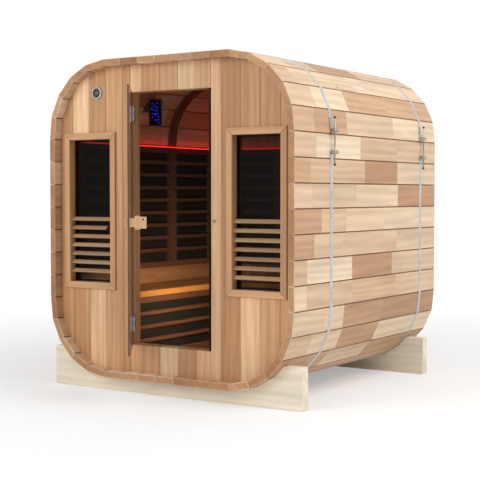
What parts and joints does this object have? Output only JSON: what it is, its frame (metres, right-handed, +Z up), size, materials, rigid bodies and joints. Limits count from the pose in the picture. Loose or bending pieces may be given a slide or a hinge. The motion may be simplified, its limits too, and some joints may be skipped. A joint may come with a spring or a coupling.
{
  "type": "infrared sauna cabin",
  "caption": "Squared barrel cabin of cedar staves on two timber cradles, with steel hoops, louvred windows, a swinging glass door and slatted heaters inside.",
  "frame": {"origin": "on the ground under the middle of the front cradle, on the cabin's left-right centre plane", "axes": "+X to the right as seen from the front, +Y from the front to the back, +Z up"},
  "size_m": [1.809, 2.241, 1.9945],
  "materials": {
    "cedar": "oiled cedar staves, satin",
    "wall_boards": "oiled cedar boards, satin",
    "bench_boards": "planed boards, satin",
    "interior_wood": "planed cedar, satin",
    "trim_wood": "planed cedar, satin",
    "handle_wood": "sanded pale wood",
    "cradle_wood": "sawn spruce, matt",
    "hoop_steel": "brushed",
    "fitting_steel": "bright",
    "hinge_chrome": "polished",
    "window_glass": "tinted, clear",
    "door_glass": "tinted, clear",
    "seal_rubber": "matt",
    "heater_black": "matt black heater film",
    "led_red": "lit red strip",
    "panel_plastic": "dark screen in a plastic case"
  },
  "bodies": {
    "cabin": {"roof_staves": "cedar", "base_staves": "cedar", "left_side_staves": "cedar", "right_side_staves": "cedar", "roof_left_corner": "cedar", "roof_right_corner": "cedar", "base_left_corner": "cedar", "base_right_corner": "cedar", "front_wall_left": "wall_boards", "front_wall_right": "wall_boards", "front_wall_lintel": "wall_boards", "front_wall_sill": "wall_boards", "back_wall": "wall_boards", "left_window_casing": "trim_wood", "right_window_casing": "trim_wood", "left_window_glass": "window_glass", "right_window_glass": "window_glass", "left_window_louvres": "trim_wood", "right_window_louvres": "trim_wood", "jamb_hinge_leaves": "hinge_chrome", "door_seal": "seal_rubber", "door_catch": "hinge_chrome", "round_vent": "fitting_steel", "front_cradle": "cradle_wood", "rear_cradle": "cradle_wood", "front_hoop": "hoop_steel", "rear_hoop": "hoop_steel", "front_hoop_tensioner": "fitting_steel", "rear_hoop_tensioner": "fitting_steel", "wall_heater_frames": "interior_wood", "wall_heater_panels": "heater_black", "led_strips": "led_red", "roof_ribs": "interior_wood", "left_bench_top": "bench_boards", "back_bench_top": "bench_boards", "right_bench_top": "bench_boards", "bench_heater_frames": "interior_wood", "bench_heater_panels": "heater_black", "right_bench_base": "bench_boards", "control_panel": "panel_plastic", "control_panel_bracket": "interior_wood"},
    "door": {"door_glass": "door_glass", "door_handle_outer": "handle_wood", "door_handle_inner": "handle_wood", "door_hinge_clamps": "hinge_chrome"}
  },
  "joints": [
    {"name": "door_hinge", "type": "hinge", "parent": "cabin", "child": "door", "pos_m": [-0.278, -0.029, 1.04], "axis": [0, 0, 1], "range_deg": [-46, 54]}
  ]
}
